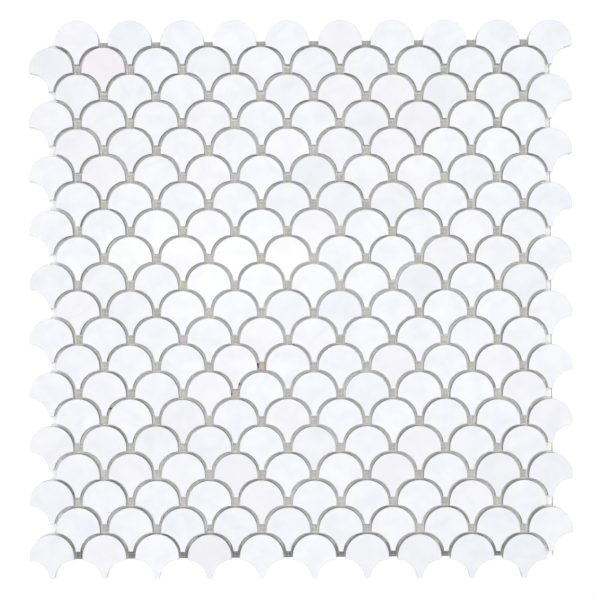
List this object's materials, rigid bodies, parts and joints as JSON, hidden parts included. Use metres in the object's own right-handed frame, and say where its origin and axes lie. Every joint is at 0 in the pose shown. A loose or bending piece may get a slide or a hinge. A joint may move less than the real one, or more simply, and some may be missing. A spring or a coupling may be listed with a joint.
{
  "type": "fish scale mosaic tile sheet",
  "caption": "Flat mosaic sheet of staggered fish scale tiles in polished white marble, with open grout joints, held on a thin flexible backing for bedding in adhesive.",
  "frame": {"origin": "middle of the tile field, on the underside of the backing", "axes": "+Z out of the polished faces, +Y the way the domes point, +X along the rows"},
  "size_m": [0.2892, 0.2974, 0.0085],
  "materials": {
    "tiles": "polished white marble with faint grey clouding",
    "backing": "glossy adhesive-filled mesh, grey in the joints"
  },
  "bodies": {
    "root": {"tile_row_01": "tiles", "tile_row_02": "tiles", "tile_row_03": "tiles", "tile_row_04": "tiles", "tile_row_05": "tiles", "tile_row_06": "tiles", "tile_row_07": "tiles", "tile_row_08": "tiles", "tile_row_09": "tiles", "tile_row_10": "tiles", "tile_row_11": "tiles", "tile_row_12": "tiles", "tile_row_13": "tiles", "tile_row_14": "tiles", "tile_row_15": "tiles", "tile_row_16": "tiles", "tile_row_17": "tiles", "tile_row_18": "tiles", "tile_row_19": "tiles", "tile_row_20": "tiles", "backing_sheet": "backing"}
  },
  "joints": []
}
